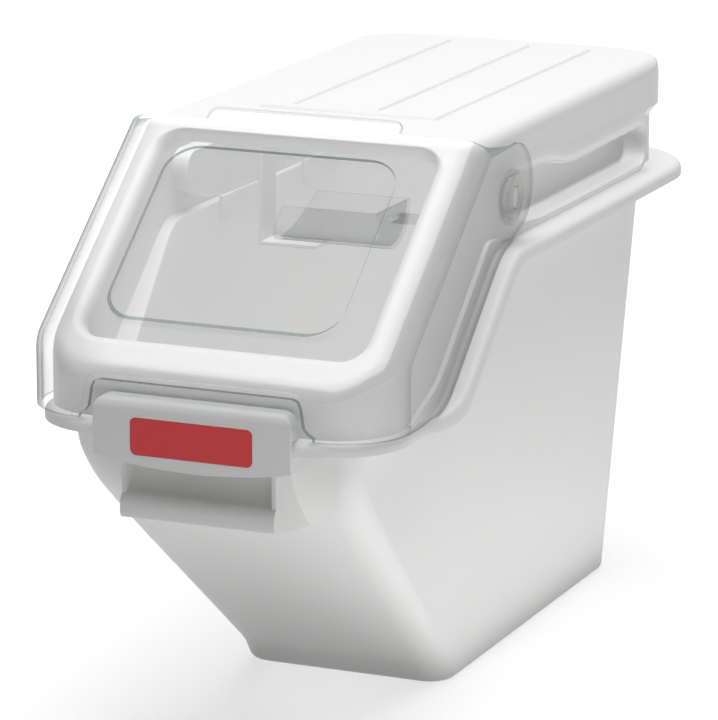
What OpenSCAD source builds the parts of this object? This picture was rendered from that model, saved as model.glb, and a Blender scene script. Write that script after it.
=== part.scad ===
// Shelf ingredient bin: tub, lift-off hood, clear tilting lid, front handle, scoop and its hanger.
// Millimetres, +Z up, front faces -Y, origin on the shelf under the middle of the overall length.

/* [Tub] */
// Half width of the base
base_half_w = 79; // [66:1:95]
// Length of the base
base_len = 328; // [270:1:390]
// How far the front wall leans forward from the base to the rim
front_lean = 215.5; // [180:0.5:255]
// Outward lean of the side walls, mm per mm of height
side_draft = 0.119; // [0.09:0.001:0.14]
// Wall thickness of the tub
tub_wall = 3; // [2.4:0.1:4]
// Floor thickness of the tub
tub_floor = 3.6; // [2.8:0.1:5]
// Height of the upright toe at the foot of the walls
toe_h = 14; // [10:1:18]

/* [Rim] */
// Top of the rim at the front
rim_front_z = 237; // [195:1:285]
// Rise of the rim from the front to the rear
rim_step = 90; // [74:1:108]
// Level stretch of the rim at the front, measured from the flange's edge
rim_front_len = 94.5; // [78:0.5:112]
// Length of the sloped stretch of the rim
rim_slope_len = 132; // [110:1:156]
// Overhang of the rim flange along the sides of the front stretch
flange_front_over = 23; // [19:0.5:27]
// Overhang of the rim flange along the sides of the rear stretch
flange_side_over = 27.5; // [23:0.5:32]
// Overhang of the rim flange at the front
flange_over = 28; // [23:0.5:33]
// Overhang of the rim flange at the rear
flange_rear_over = 37.5; // [31:0.5:44]
// Depth of the turned-down flange edge
flange_drop = 9.5; // [8:0.5:12]

/* [Hood] */
// Height of the roof above the rear rim
roof_h = 77.5; // [64:0.5:90]
// How far the hood's sides stand out from the tub's rim opening
hood_out = 7; // [5:0.5:9]
// Hood's front face, in from the flange's front edge
hood_in_front = 10.5; // [8.5:0.5:13]
// Hood's rear face, in from the flange's rear edge
hood_in_rear = 24.5; // [20:0.5:28]
// Wall thickness of the hood
hood_wall = 3; // [2.4:0.1:4]
// Width of the frame on each side of the mouth
mouth_frame = 23; // [19:0.5:27]
// Frame above the mouth, down the slope from the lid's top edge
mouth_s0 = 5; // [4:0.5:8]
// Frame below the mouth, up the slope from the lid's front edge
mouth_foot = 37; // [31:0.5:44]
// Corner radius of the mouth
mouth_r = 16; // [12:1:20]
// Width of the hood's foot along the rim, under the lid
foot_h = 12; // [9:0.5:15]

/* [Lid] */
// Wall thickness of the lid
lid_wall = 3; // [2.4:0.1:3.6]
// Space between the lid's side walls and the hood
lid_side_gap = 6; // [5:0.5:8]
// Space between the lid's front wall and the hood
lid_front_gap = 5; // [4:0.5:6]
// Space between the lid's panel and the hood's sloped face
lid_gap = 4; // [3:0.5:5]
// Height of the lid's top edge above the roof
lid_rise = 4.5; // [4:0.5:6]
// Height of the lid's front edge above the rim
lid_front_h = 32.7; // [27:0.1:39]
// Lid's top edge in front of the pivot
lid_reach = 61; // [50:0.5:72]
// Pivot height above the rear rim
pivot_up = 32; // [29:0.5:37]
// Pivot behind the upper end of the rim's slope
pivot_back = 9; // [7:0.5:11]
// Radius of the pivot pin
pin_r = 12; // [10:0.5:14]
// Radial running clearance of the pivot pin
pin_clear = 0.05; // [0.02:0.01:0.1]

/* [Front handle] */
// Half width of the handle block
block_half_w = 71.5; // [60:0.5:75]
// Thickness of the handle block's front wall
block_wall = 4; // [3.3:0.1:4.8]
// Top of the handle block above the front rim
block_up = 19; // [16:0.5:23]
// Bottom of the handle block below the front rim
block_down = 28; // [24:0.5:32]
// Half width of the finger grip
grip_half_w = 56; // [46:0.5:66]
// Grip's lip, in from the flange's front edge
grip_in = 3.5; // [2.5:0.5:4.5]
// Bottom of the grip's lip below the front rim
grip_down = 66; // [58:0.5:76]
// Height of the grip's lip
lip_h = 20; // [16:0.5:24]
// Half width of the blank label panel
label_half_w = 44; // [36:0.5:52]
// Height of the blank label panel
label_h = 25; // [20:0.5:30]

/* [Scoop] */
// Length of the scoop's bowl
bowl_len = 86; // [71:1:102]
// Radius of the scoop's bowl
bowl_r = 30; // [25:0.5:35]
// Scoop's lowest line below the roof
scoop_drop = 90.5; // [80:0.5:105]

/* [Hidden] */
$fn = 64;
seat = 0.3;
rear_lean = 0.012;
label_proud = 0.2;
rim_rear_z = rim_front_z + rim_step;
front_reach = front_lean + flange_over + block_wall + label_proud;
rear_reach = base_len + rear_lean * rim_rear_z + flange_rear_over;
base_front_y = (front_reach - rear_reach) / 2;
base_rear_y = base_front_y + base_len;
flange_front_y = base_front_y - front_lean - flange_over;
flange_rear_y = base_rear_y + rear_lean * rim_rear_z + flange_rear_over;
rim_slope_y0 = flange_front_y + rim_front_len;
rim_slope_y1 = rim_slope_y0 + rim_slope_len;
flange_front_w = base_half_w + side_draft * rim_front_z + flange_front_over;
flange_side_w = base_half_w + side_draft * rim_rear_z + flange_side_over;
roof_z = rim_rear_z + roof_h;
hood_half_w = base_half_w + side_draft * rim_rear_z + hood_out;
hood_front_y = flange_front_y + hood_in_front;
hood_rear_y = flange_rear_y - hood_in_rear;
mouth_half_w = hood_half_w - mouth_frame;
pivot_y = rim_slope_y1 + pivot_back;
pivot_z = rim_rear_z + pivot_up;
lid_half_w = hood_half_w + lid_side_gap + lid_wall;
lid_front_y = hood_front_y - lid_front_gap - lid_wall;
lid_top_y = pivot_y - lid_reach;
lid_top_z = roof_z + lid_rise;
tan_s = (lid_top_z - rim_front_z - lid_front_h) / (lid_top_y - lid_front_y);
slope_deg = atan(tan_s);
cos_s = cos(slope_deg);
sin_s = sin(slope_deg);
mouth_s1 = (lid_top_y - lid_front_y) / cos_s - mouth_foot;
block_front_y = flange_front_y - block_wall;
block_top_z = rim_front_z + block_up;
block_low_z = rim_front_z - block_down;
grip_front_y = flange_front_y + grip_in;
grip_low_z = rim_front_z - grip_down;
grip_lip_z = grip_low_z + lip_h;
label_z0 = block_low_z + 9;
label_z1 = label_z0 + label_h;
scoop_low_z = roof_z - scoop_drop;
scoop_y = pivot_y + 6;
white = [0.93, 0.93, 0.92];
clear = [0.85, 0.9, 0.92, 0.35];
red = [0.75, 0.1, 0.12];

// Plain helpers
function lerp(a, b, t) = a + (b - a) * t;
function unit(v) = v / norm(v);

// Straight ramp from 0 to 1 with rounded ends of share b
function ramp(t, b) = t <= 0 ? 0 : t >= 1 ? 1
  : t < b ? t * t / (2 * b * (1 - b))
  : t > 1 - b ? 1 - (1 - t) * (1 - t) / (2 * b * (1 - b))
  : (t - b / 2) / (1 - b);

// Height of the rim's top at a distance y along the side
function rim_share(y) = (y - rim_slope_y0) / (rim_slope_y1 - rim_slope_y0);
function rim_z(y) = lerp(rim_front_z, rim_rear_z, ramp(rim_share(y), 0.22));

// Space over the rim for what stands on it: seated on the level stretches, a little more on the slope
function rim_space(y) = let (t = rim_share(y)) seat + 1.35 * max(0, min(1, 6 * (t + 0.2), 6 * (1.2 - t)));

// Points of a fillet of radius r at corner b between a and c, n + 1 points
function fillet(a, b, c, r, n) =
  let (u = unit(a - b), v = unit(c - b), half = acos(max(-1, min(1, u * v))) / 2)
  let (t = r / tan(half), m = b + unit(u + v) * (r / sin(half)))
  let (p = b + u * t - m, q = b + v * t - m, span = 180 - 2 * half)
  [for (k = [0 : n]) let (w = k / n) m + (sin((1 - w) * span) * p + sin(w * span) * q) / sin(span)];

// Closed loops of equal length skinned into a solid, the end loops capped by fans round two hub points
module skin(loops, hub0, hub1) {
  n = len(loops[0]);
  m = len(loops);
  pts = concat([for (l = loops) each l], [hub0, hub1]);
  sides = [for (j = [0 : m - 2]) for (i = [0 : n - 1])
    let (a = j * n + i, b = j * n + (i + 1) % n, c = (j + 1) * n + (i + 1) % n, d = (j + 1) * n + i)
    each [[a, d, c], [a, c, b]]];
  last = (m - 1) * n;
  caps = [for (i = [0 : n - 1]) each [[i, (i + 1) % n, m * n], [last + (i + 1) % n, last + i, m * n + 1]]];
  polyhedron(points = pts, faces = concat(sides, caps), convexity = 8);
}

// Tub plan at a height: half width, front, rear and corner radii
front_profile = [[0, 0], [0.06, 0.028], [0.253, 0.278], [0.536, 0.65], [0.675, 0.826], [0.751, 0.91],
  [0.81, 0.956], [0.869, 0.986], [0.92, 0.998], [0.958, 1]];
function front_at(z) = base_front_y - front_lean * lookup(z / rim_front_z, front_profile);
function half_at(z) = base_half_w + side_draft * z;
function rear_at(z) = base_rear_y + rear_lean * z;
function rear_r(z) = 14 + 0.14 * z;
function front_r(z) = lookup(z / rim_front_z, [[0, 20], [0.7, 23.5], [0.88, 14], [0.955, 14], [1, 24], [2, 24]]);

// One point of the tub's plan: part 0..3 front left, right side, rear, left side; grown outward by g
arc_n = 8;
side_n = 26;
function corner(cx, cy, r, a) = [cx + r * cos(a), cy + r * sin(a)];
function plan_at(z, i, g) =
  let (w = half_at(z) + g, yf = front_at(z) - g, yb = rear_at(z) + g)
  let (rf = max(1, front_r(z) + g), rb = max(1, rear_r(z) + g))
  i <= arc_n ? corner(-w + rf, yf + rf, rf, 180 + 90 * i / arc_n)
  : i <= 2 * arc_n + 1 ? corner(w - rf, yf + rf, rf, 270 + 90 * (i - arc_n - 1) / arc_n)
  : i <= 2 * arc_n + side_n ? [w, lerp(yf + rf, yb - rb, side_t(i - 2 * arc_n - 1))]
  : i <= 3 * arc_n + side_n + 1 ? corner(w - rb, yb - rb, rb, 90 * (i - 2 * arc_n - side_n - 1) / arc_n)
  : i <= 4 * arc_n + side_n + 2 ? corner(rb - w, yb - rb, rb, 90 + 90 * (i - 3 * arc_n - side_n - 2) / arc_n)
  : [-w, lerp(yf + rf, yb - rb, side_t(4 * arc_n + 2 * side_n + 2 - i))];
function side_t(k) = k <= 22 ? 0.45 * k / 22 : 0.45 + 0.55 * (k - 22) / (side_n - 22);
plan_n = 4 * arc_n + 2 * side_n + 2;

// Rim height at each point of the plan
function top_at(i) = let (z = rim_z(plan_at(rim_front_z, i, 0)[1])) rim_z(plan_at(z, i, 0)[1]);
function wall_loop(s, g, drop) = [for (i = [0 : plan_n - 1])
  let (z = lerp(toe_h, top_at(i) - drop, s), p = plan_at(z, i, g)) [p[0], p[1], z]];
function rim_loop(g, drop) = [for (i = [0 : plan_n - 1])
  let (z = top_at(i), p = plan_at(z, i, g)) [p[0], p[1], z - drop]];

// Outer edge of the flange, inset by e: narrower round the front, wide along the sides and rear
function flange_half(y) = lerp(flange_front_w, flange_side_w, ramp((y - rim_slope_y0 + 17) / 50, 0.3));
function flange_pt(i, e) =
  let (yf = flange_front_y + e, yb = flange_rear_y - e, rf = 54 - e, rb = 86 - e)
  let (wf = flange_front_w - e, wb = flange_side_w - e)
  i <= arc_n ? corner(-wf + rf, yf + rf, rf, 180 + 90 * i / arc_n)
  : i <= 2 * arc_n + 1 ? corner(wf - rf, yf + rf, rf, 270 + 90 * (i - arc_n - 1) / arc_n)
  : i <= 2 * arc_n + side_n ? flange_side(1, side_t(i - 2 * arc_n - 1), yf + rf, yb - rb, e)
  : i <= 3 * arc_n + side_n + 1 ? corner(wb - rb, yb - rb, rb, 90 * (i - 2 * arc_n - side_n - 1) / arc_n)
  : i <= 4 * arc_n + side_n + 2 ? corner(rb - wb, yb - rb, rb, 90 + 90 * (i - 3 * arc_n - side_n - 2) / arc_n)
  : flange_side(-1, side_t(4 * arc_n + 2 * side_n + 2 - i), yf + rf, yb - rb, e);
function flange_side(m, t, y0, y1, e) = let (y = lerp(y0, y1, t)) [m * (flange_half(y) - e), y];
function steep(y) = (rim_z(y + 1) - rim_z(y - 1)) / 2;
function flange_loop(e, drop) = [for (i = [0 : plan_n - 1])
  let (p = flange_pt(i, e), m = steep(p[1])) [p[0], p[1], rim_z(p[1]) - drop * sqrt(1 + m * m)]];
function flat_loop(z, g) = [for (i = [0 : plan_n - 1]) let (p = plan_at(z, i, g)) [p[0], p[1], z]];

// Sloped frame: x across, y down the slope from the lid's top edge, z into the panel
module on_slope() {
  translate([0, lid_top_y, lid_top_z])
    rotate([180 + slope_deg, 0, 0])
      children();
}

// Rounded rectangle from exact pieces
module round_rect(x0, x1, y0, y1, r) {
  translate([x0 + r, y0])
    square([x1 - x0 - 2 * r, y1 - y0]);
  translate([x0, y0 + r])
    square([x1 - x0, y1 - y0 - 2 * r]);
  for (x = [x0 + r, x1 - r])
    for (y = [y0 + r, y1 - r])
      translate([x, y])
        circle(r);
}

// A drawing in y and z, pushed along x from x0 to x1
module along_x(x0, x1) {
  translate([x0, 0, 0])
    rotate([90, 0, 90])
      linear_extrude(height = x1 - x0)
        children();
}

// A drawing in x and z, pushed along y from y0 to y1
module along_y(y0, y1) {
  translate([0, y1, 0])
    rotate([90, 0, 0])
      linear_extrude(height = y1 - y0)
        children();
}

// Front of the tub's wall as its levels draw it
function level_z(s) = lerp(toe_h, rim_front_z - tub_wall, s);
function wall_front(z) = lookup(z, [for (s = tub_levels) [level_z(s), front_at(level_z(s))]]);

// Tub: tapered box with a toe, slanted front, stepped rim and turned-down flange
tub_levels = [0, 0.12, 0.25, 0.38, 0.5, 0.6, 0.7, 0.78, 0.85, 0.92, 1];
module tub() {
  outer = [for (s = tub_levels) wall_loop(s, 0, tub_wall)];
  inner = [for (k = [len(tub_levels) - 1 : -1 : 0]) wall_loop(tub_levels[k], -tub_wall, tub_wall)];
  color(white)
    skin(concat(
      [flat_loop(0, -5), flat_loop(1.5, -1.5), flat_loop(5, 0)],
      outer,
      [flange_loop(tub_wall, tub_wall), flange_loop(tub_wall, flange_drop), flange_loop(0.8, flange_drop)],
      [flange_loop(0, flange_drop - 1), flange_loop(0, 3.4), flange_loop(1.1, 1), flange_loop(3.4, 0)],
      [rim_loop(-tub_wall + 1, 0), rim_loop(-tub_wall, 1)],
      inner,
      [flat_loop(tub_floor + 3, -tub_wall - 2), flat_loop(tub_floor, -tub_wall - 7)]),
      [0, 100, 0], [0, 100, tub_floor]);
}

// Inset that rounds an edge of radius r where the side reaches half width w
function edge_inset(x, w, r) = let (e = abs(x) - (w - r)) e <= 0 ? 0 : r - sqrt(max(0, r * r - e * e));

// Inset of the hood's rear face towards its sides; inside, it also clears the step round the lower rear
function rear_inset(x, w, t) = t == 0 ? edge_inset(x, w, hood_rear_r)
  : let (r = hood_rear_r - step_in - t, e = abs(x) - (w - step_in - r))
  e <= 0 ? 0 : e <= r ? r - sqrt(r * r - e * e) : r + (e - r) * 43 / step_in;

// Side view of the hood at station x: w half width, t inset of every face, low shift of the lower edge
hub_y = pivot_y - 46;
hub_z = pivot_z - 14;
hood_rear_r = 52;
step_in = 6.3;
step_z = roof_z - 33;
hood_front_r = 44;
shoulder_r = 10;
cheek_r = 17;
hood_low_n = 36;
function hood_loop(x, w, t, rear, low) =
  let (dr = rear_inset(x, w, t), dt = edge_inset(x, w, shoulder_r - t))
  let (ds = edge_inset(x, w, cheek_r - t) + t + lid_wall + lid_gap)
  let (df = edge_inset(x, w, hood_front_r - t) + t)
  let (yr = rear - dr, zr = roof_z - t - dt, yf = hood_front_y + df)
  let (z_of = lid_top_z - ds / cos_s)
  let (ys = lid_top_y + (zr - z_of) / tan_s, zf = z_of + (yf - lid_top_y) * tan_s)
  let (a = [yr, rim_rear_z], b = [yr, zr], c = [ys, zr], d = [yf, zf], e = [yf, rim_front_z - 40])
  concat(
    fillet(a, b, c, 9 - t, 5), fillet(b, c, d, 15, 5), fillet(c, d, e, 24 - t, 6),
    [for (k = [0 : hood_low_n])
      let (y = lerp(yf, yr, k < 28 ? 0.42 * k / 28 : 0.42 + 0.58 * (k - 28) / (hood_low_n - 28)))
      [y, rim_z(y) + rim_space(y) - low]]);
function hood_stations(w, t) =
  let (h = [for (a = [0, 12, 24, 36, 47, 56, 64, 71, 78, 84, 90]) w - (hood_rear_r - t) * (1 - sin(a))])
  concat([for (k = [len(h) - 1 : -1 : 0]) -h[k]], h);
module hood_body(w, t, rear, low) {
  skin([for (x = hood_stations(w, t)) [for (p = hood_loop(x, w, t, rear, low)) [x, p[0], p[1]]]],
    [-w, hub_y, hub_z], [w, hub_y, hub_z]);
}

// Side track of the hood: round seat for the pin at the front, long slot to a round rear end, grown by g
track_rear_y = hood_rear_y - 95;
module track(g) {
  r = pin_r + pin_clear + g;
  q = 14 + g;
  translate([pivot_y, pivot_z])
    circle(r);
  polygon([
    [pivot_y, pivot_z + r], [pivot_y + 59, pivot_z + pin_r + g], [pivot_y + 76, pivot_z + 10.4 + g],
    [pivot_y + 92, pivot_z + 6.6 + g], [pivot_y + 108, pivot_z + 3.4 + g], [pivot_y + 126, pivot_z + 2 + g],
    [track_rear_y, pivot_z + 3 + g], [track_rear_y, pivot_z - 25 - g], [pivot_y + 59, pivot_z - 25 - g],
    [pivot_y + 26, pivot_z - 22 - g], [pivot_y, pivot_z - r]]);
  translate([track_rear_y, pivot_z - 11])
    circle(q);
}

// Band cut from the lower rear of the hood, fading out along its sides
module rear_step() {
  big = 40;
  w = hood_half_w;
  inside = w - step_in;
  bend_y = hood_rear_y - hood_rear_r;
  translate([0, 0, rim_rear_z - 5])
    linear_extrude(height = step_z - rim_rear_z + 5)
      difference() {
        translate([-w - big, bend_y - 120])
          square([2 * (w + big), hood_rear_r + 120 + big]);
        round_rect(-inside, inside, bend_y - 200, hood_rear_y - step_in, hood_rear_r - step_in);
        polygon([[-w - 1, bend_y - 150], [w + 1, bend_y - 150], [w + 1, bend_y - 36], [inside, bend_y],
          [-inside, bend_y], [-w - 1, bend_y - 36]]);
      }
}

// Raised runners on the roof that carry the lid when it is pushed back, joined by a band at the front
runners = [[-66, -47], [-17, 17], [47, 66]];
runner_y0 = pivot_y + 24;
runner_y1 = hood_rear_y - 33;
module roof_runners() {
  translate([0, 0, roof_z - 1])
    linear_extrude(height = 2.2) {
      for (r = runners)
        polygon([[r[0], runner_y0], [r[1], runner_y0], [r[1], runner_y1],
          [(r[0] + r[1]) / 2, runner_y1 + 6], [r[0], runner_y1]]);
      translate([-66, runner_y0 - 8])
        square([132, 12]);
    }
}

// Lugs under the tracks that hang inside the tub's walls and keep the hood in place
module lugs() {
  top = pivot_z - 28;
  for (m = [0, 1])
    mirror([m, 0, 0])
      for (y = [pivot_y + 44, hood_rear_y - 165])
        translate([hood_half_w - 16, y, top - 18])
          cube([3, 60, 18.5]);
}

// Foot along the sloped rim, under the lid, on both sides
foot_out = 3.5;
module feet() {
  ys = [for (k = [0 : 20]) lerp(rim_slope_y0 - 30, rim_slope_y1 - 4, k / 20)];
  low = [for (y = ys) [y, rim_z(y) + rim_space(y)]];
  rise = [for (k = [0 : 20]) foot_h * min(1, 0.1 + k / 5, 0.3 + (20 - k) / 3)];
  high = [for (k = [20 : -1 : 0]) [ys[k] - rise[k] * 0.45, low[k][1] + rise[k]]];
  for (m = [0, 1])
    mirror([m, 0, 0])
      along_x(hood_half_w - 1, hood_half_w + foot_out)
        polygon(concat(low, high));
}

module hood() {
  color(white)
    difference() {
      union() {
        difference() {
          hood_body(hood_half_w, 0, hood_rear_y, 0);
          hood_body(hood_half_w - hood_wall, hood_wall, hood_rear_y - step_in - hood_wall, 8);
        }
        for (m = [0, 1])
          mirror([m, 0, 0])
            along_x(hood_half_w - 16, hood_half_w - hood_wall + 0.5)
              track(3);
        roof_runners();
        lugs();
        feet();
      }
      for (m = [0, 1])
        mirror([m, 0, 0])
          along_x(hood_half_w - 13, hood_half_w + 5)
            track(0);
      on_slope()
        translate([0, 0, -10])
          linear_extrude(height = 60)
            round_rect(-mouth_half_w, mouth_half_w, mouth_s0, mouth_s1, mouth_r);
      rear_step();
    }
}

// Side view of the lid at station x
lid_cheek_r = 19;
lid_front_r = 46;
ear_y = pivot_y - 2;
ear_z = pivot_z + 7;
ear_r = 31;
lid_low_n = 26;
function lid_front_part(x, w, t) =
  let (ds = edge_inset(x, w, lid_cheek_r - t) + t, df = edge_inset(x, w, lid_front_r - t) + t)
  let (yf = lid_front_y + df, z_of = lid_top_z - ds / cos_s, zf = z_of + (yf - lid_top_y) * tan_s)
  [yf, zf, z_of, ds];
function lid_loop(x, w) =
  let (f = lid_front_part(x, w, 0), yt = lid_top_y + 0.69 * f[3], c = [yt, f[2] + (yt - lid_top_y) * tan_s])
  let (d = [f[0], f[1]], e = [f[0], rim_front_z - 40])
  concat(
    [for (k = [0 : 10]) let (a = -80 + 180 * k / 10) [ear_y + ear_r * cos(a), ear_z + ear_r * sin(a)]],
    [c], fillet(c, d, e, 16, 6),
    [for (k = [0 : lid_low_n])
      let (y = lerp(f[0], pivot_y - 12, k / lid_low_n)) [y, rim_z(y) + rim_space(y)]]);
function lid_core(x, w, t) =
  let (f = lid_front_part(x, w, t), yt = lid_top_y + 40, c = [yt, f[2] + (yt - lid_top_y) * tan_s])
  let (d = [f[0], f[1]], e = [f[0], rim_front_z - 40])
  let (back = pivot_y + 124, low = rim_front_z - 60)
  concat([[back, low], [back, c[1]], c], fillet(c, d, e, 16 - t, 6), [[f[0], low]]);
function lid_stations(w, t) =
  let (h = [for (a = [0, 12, 24, 35, 45, 53, 60, 67, 73, 79, 85, 90]) w - (lid_front_r - t) * (1 - sin(a))])
  concat([for (k = [len(h) - 1 : -1 : 0]) -h[k]], h);

module lid() {
  w = lid_half_w;
  wi = lid_half_w - lid_wall;
  ring_w = mouth_half_w - 14;
  nw = block_half_w + 6;
  nz = rim_front_z;
  color(clear)
    difference() {
      union() {
        difference() {
          skin([for (x = lid_stations(w, 0)) [for (p = lid_loop(x, w)) [x, p[0], p[1]]]],
            [-w, hub_y, hub_z], [w, hub_y, hub_z]);
          skin([for (x = lid_stations(wi, lid_wall)) [for (p = lid_core(x, wi, lid_wall)) [x, p[0], p[1]]]],
            [-wi, hub_y, hub_z], [wi, hub_y, hub_z]);
        }
        on_slope()
          linear_extrude(height = lid_wall)
            round_rect(-72, 72, -12, 14, 7);
        on_slope()
          translate([0, 0, -0.6])
            linear_extrude(height = 1.1)
              difference() {
                round_rect(-ring_w, ring_w, mouth_s0 + 19, mouth_s1 - 8, 24);
                round_rect(2.4 - ring_w, ring_w - 2.4, mouth_s0 + 21.4, mouth_s1 - 10.4, 21.6);
              }
      }
      along_y(lid_front_y - 33, lid_front_y + 57)
        polygon([[-nw - 8, nz - 37], [-nw - 7, nz + 3], [-nw, nz + 9], [2 - nw, block_top_z + 3],
          [8 - nw, block_top_z + 9], [nw - 8, block_top_z + 9], [nw - 2, block_top_z + 3], [nw, nz + 9],
          [nw + 7, nz + 3], [nw + 8, nz - 37]]);
      for (m = [0, 1])
        mirror([m, 0, 0])
          translate([lid_half_w - 10, pivot_y, pivot_z])
            rotate([0, 90, 0])
              cylinder(r = 8 + pin_clear, h = 20);
    }
}

// Pivot: pin in the hood's track, shoulder inside the lid's ear, snapped cap outside it
module pivot() {
  inner = lid_half_w - lid_wall;
  translate([0, pivot_y, pivot_z])
    rotate([0, 90, 0]) {
      translate([0, 0, hood_half_w - 12.5])
        cylinder(r = pin_r, h = inner - 3 - hood_half_w + 12.5);
      translate([0, 0, inner - 3])
        cylinder(r = 19.5, h = 3);
      translate([0, 0, inner - 1])
        cylinder(r = 8, h = lid_wall + 1.5);
      translate([0, 0, lid_half_w])
        difference() {
          cylinder(r = 20, h = 1.6);
          translate([0, 0, 0.6])
            cylinder(r = 17.6, h = 2);
        }
    }
}
module pivot_right() {
  color(clear)
    pivot();
}
module pivot_left() {
  color(clear)
    mirror([1, 0, 0])
      pivot();
}

// Handle block: cap over the front of the rim
module block_front_view() {
  difference() {
    union() {
      translate([-block_half_w, block_low_z - 2])
        square([2 * block_half_w, block_top_z - block_low_z - 8]);
      translate([-block_half_w + 10, block_top_z - 20])
        square([2 * block_half_w - 20, 20]);
      for (x = [-1, 1])
        translate([x * (block_half_w - 10), block_top_z - 10])
          circle(10);
    }
    bow_r = 380;
    difference() {
      translate([-150, block_low_z - 20])
        square([300, 30]);
      translate([0, block_low_z + bow_r])
        circle(bow_r, $fn = 200);
    }
  }
}
module block_side_view() {
  f = block_front_y;
  low = block_low_z - 26;
  hook_z = rim_front_z - flange_drop - 4.5;
  polygon([[f, low], [f, block_top_z - 9], [f + 0.8, block_top_z - 5.6], [f + 2.6, block_top_z - 2.6],
    [f + 5.6, block_top_z - 0.8], [f + 9, block_top_z], [hood_front_y - 2.2, block_top_z],
    [hood_front_y - 2.2, rim_front_z + 0.2], [flange_front_y - 0.2, rim_front_z + 0.2],
    [flange_front_y - 0.2, rim_front_z - flange_drop - 0.2],
    [flange_front_y + flange_over / 2, rim_front_z - flange_drop - 0.2],
    [flange_front_y + flange_over / 2, hook_z], [f + block_wall, hook_z], [f + block_wall, low]]);
}
module block_cheek() {
  f = block_front_y;
  hook_z = rim_front_z - flange_drop - 4.5;
  polygon([[f + 1, block_low_z - 26], [f + 1, hook_z + 0.5], [f + 25, hook_z + 0.5], [f + 25, block_low_z - 26]]);
}
module handle_block() {
  color(white)
    difference() {
      intersection() {
        union() {
          along_x(-block_half_w - 5, block_half_w + 5)
            block_side_view();
          for (m = [0, 1])
            mirror([m, 0, 0])
              along_x(block_half_w - 4, block_half_w + 5)
                block_cheek();
        }
        along_y(block_front_y - 27, block_front_y + 44)
          block_front_view();
      }
      along_y(block_front_y - 1, block_front_y + 0.5)
        round_rect(-label_half_w - 0.2, label_half_w + 0.2, label_z0 - 0.2, label_z1 + 0.2, 4.2);
    }
}

// Blank label panel set into the block's face
module label_panel() {
  color(red)
    along_y(block_front_y - label_proud, block_front_y + 0.45)
      round_rect(-label_half_w, label_half_w, label_z0, label_z1, 4);
}

// Finger grip: bracket on the tub's front with a forward lip
module finger_grip() {
  f = grip_front_y;
  top = rim_front_z - 21;
  low = grip_low_z - 8;
  back = concat([top], [for (k = [len(tub_levels) - 1 : -1 : 0])
    let (z = level_z(tub_levels[k])) if (z < top - 0.5 && z > low + 0.5) z], [low]);
  color(white)
    difference() {
      union() {
        for (m = [0, 1])
          mirror([m, 0, 0])
            along_x(grip_half_w - 3, grip_half_w)
              polygon(concat(
                [[f + 3.4, grip_lip_z - 3], [f + 3.4, top]],
                [for (z = back) if (z > grip_lip_z - 2.5) [wall_front(z) - 0.15, z]],
                [[wall_front(grip_lip_z - 3) - 0.15, grip_lip_z - 3]]));
        along_x(-grip_half_w, grip_half_w)
          polygon(concat(
            [[f + 4, grip_low_z], [f + 1.2, grip_low_z + 1.2], [f, grip_low_z + 4], [f, grip_lip_z - 4],
            [f + 1.4, grip_lip_z - 1], [f + 4, grip_lip_z], [f + 8, grip_lip_z + 1.6],
            [f + 13, grip_lip_z + 6], [f + 16.5, grip_lip_z + 12], [f + 18, grip_lip_z + 19], [f + 18, top]],
            [for (z = back) [wall_front(z) - 0.15, z]]));
      }
      along_x(-grip_half_w + 3, grip_half_w - 3)
        polygon([[f + 3, grip_low_z - 21], [f + 3, grip_lip_z - 5], [f + 6, grip_lip_z - 3],
          [f + 14, grip_lip_z], [f + 19, grip_lip_z + 6], [front_at(grip_lip_z) - 3.5, grip_lip_z + 6],
          [front_at(grip_lip_z) - 3.5, grip_lip_z], [front_at(grip_low_z) - 3.5, grip_low_z - 2],
          [front_at(grip_low_z - 21), grip_low_z - 21]]);
    }
}

// Scoop: half-round bowl closed at the back, level handle behind it
bowl_x0 = -46;
bowl_x1 = bowl_x0 + bowl_len;
bowl_z = scoop_low_z + bowl_r;
hanger_x = hood_half_w - 23;
scoop_handle_len = hanger_x - 4 - bowl_x1;
module scoop() {
  h = bowl_z - 6;
  color(clear) {
    difference() {
      translate([bowl_x0, scoop_y, bowl_z])
        rotate([0, 90, 0])
          cylinder(r = bowl_r, h = bowl_len);
      translate([bowl_x0 - 1, scoop_y, bowl_z])
        rotate([0, 90, 0])
          cylinder(r = bowl_r - 2, h = bowl_len - 1);
      translate([bowl_x0 - 5, scoop_y - 50, bowl_z])
        cube([bowl_len + 10, 100, 60]);
      along_y(scoop_y - 60, scoop_y + 60)
        polygon([[bowl_x0 - 10, scoop_low_z - 10], [bowl_x0 - 10, bowl_z + 10], [bowl_x0 + 20, bowl_z + 10],
          [bowl_x0, scoop_low_z + 2], [bowl_x0, scoop_low_z - 10]]);
    }
    translate([bowl_x1 - 0.6, scoop_y - 9, h - 4])
      cube([scoop_handle_len, 18, 4]);
    translate([bowl_x1 - 0.6, scoop_y - 1.5, h - 14])
      cube([scoop_handle_len - 12, 3, 12]);
  }
}

// Hanger: plate under the roof with two arms that the scoop rests on
module scoop_hanger() {
  top = roof_z - hood_wall;
  a = bowl_x0 - 12;
  b = hanger_x;
  low = scoop_low_z - 0.35;
  color(white) {
    translate([a, scoop_y - 12, top - 3])
      cube([b - a + 3, 24, 3]);
    translate([a, scoop_y - 12, low - 3])
      cube([3, 24, top - low + 3]);
    translate([a, scoop_y - 12, low - 3])
      cube([44, 24, 3]);
    translate([b, scoop_y - 12, bowl_z - 13.35])
      cube([3, 24, top - bowl_z + 13.35]);
    translate([b - 14, scoop_y - 12, bowl_z - 13.35])
      cube([17, 24, 3]);
  }
}

tub();
hood();
lid();
pivot_left();
pivot_right();
handle_block();
finger_grip();
label_panel();
scoop();
scoop_hanger();
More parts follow.
